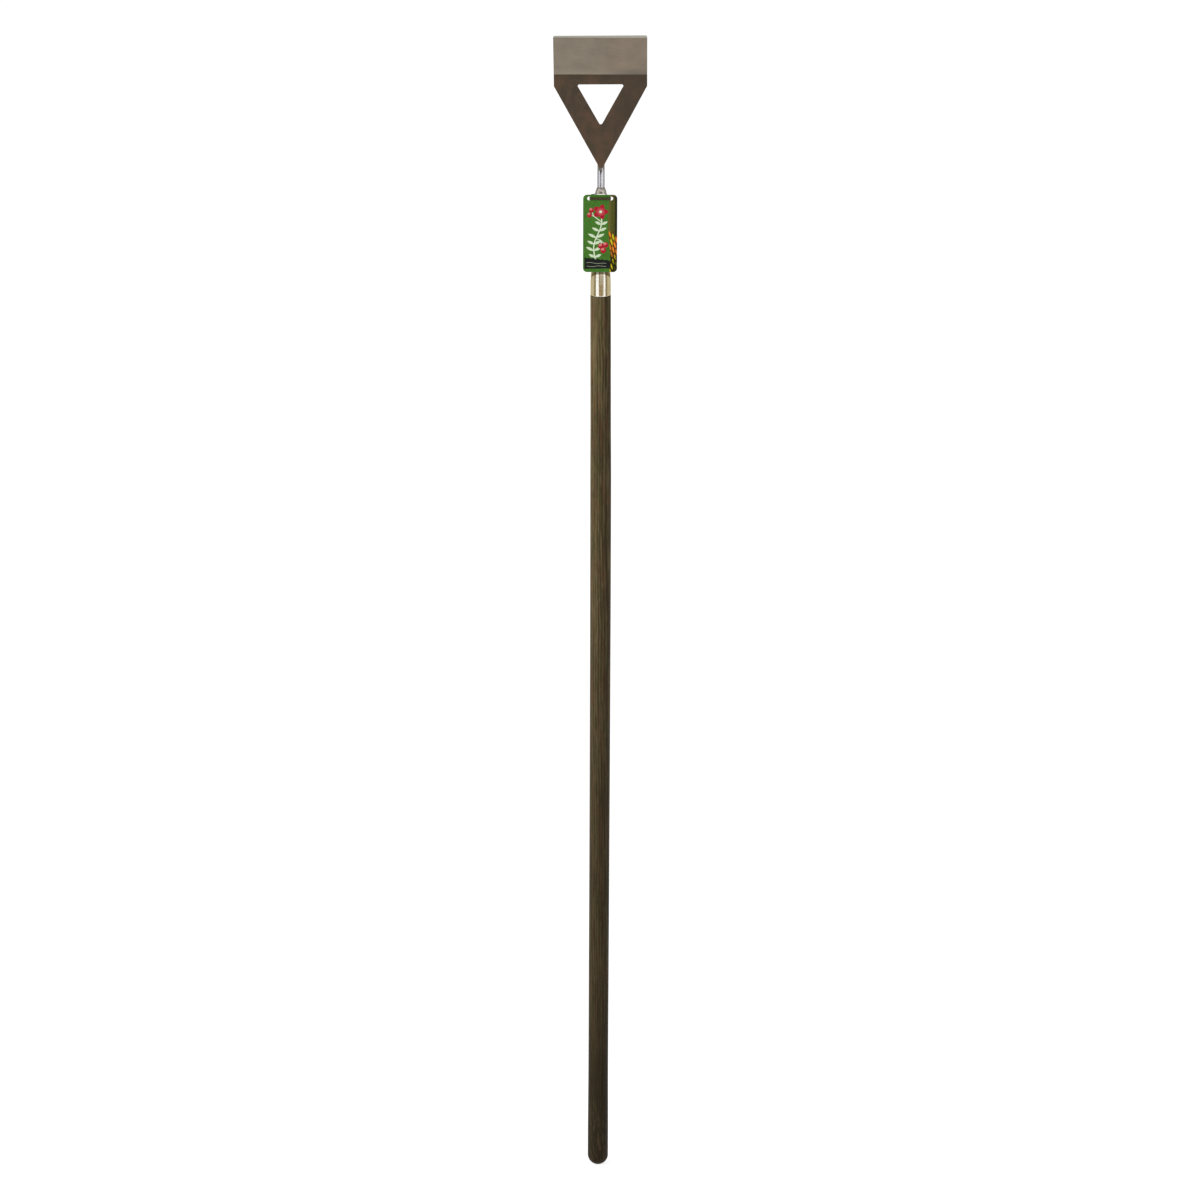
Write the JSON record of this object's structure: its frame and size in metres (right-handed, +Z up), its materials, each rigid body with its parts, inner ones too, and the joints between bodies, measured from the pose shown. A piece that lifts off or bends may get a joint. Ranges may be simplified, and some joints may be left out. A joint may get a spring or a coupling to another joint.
{
  "type": "dutch hoe",
  "caption": "Long handled push hoe: pressed steel blade on a triangular frame, round neck, tapered socket, turned wooden handle and a hanging card.",
  "frame": {"origin": "centre of the small flat at the handle's butt", "axes": "+Z up the handle towards the head, +X to the right as seen from the card's side, -Y out of the card and the front of the blade"},
  "size_m": [0.1272, 0.0846, 1.6853],
  "materials": {
    "plate_steel": "ground satin on the blade, darker mill finish on the frame",
    "polished_steel": "polished",
    "weld_steel": "rippled weld, lightly heat tinted",
    "socket_steel": "bright, warm toned",
    "stained_ash": "dark stain with the long grain showing, satin",
    "dark_nylon": "dark brown nylon",
    "printed_card": "printed, thin gloss film"
  },
  "bodies": {
    "tool": {"head_plate": "plate_steel", "neck_rod": "polished_steel", "plate_weld": "weld_steel", "neck_weld": "weld_steel", "socket": "socket_steel", "socket_rivet": "polished_steel", "handle": "stained_ash", "tag_tie": "dark_nylon"},
    "tag": {"swing_tag": "printed_card"}
  },
  "joints": [
    {"name": "tag_swing", "type": "hinge", "parent": "tool", "child": "tag", "pos_m": [-0.001, -0.01384, 1.4495], "axis": [-1, 0, 0], "range_deg": [0, 25]}
  ]
}
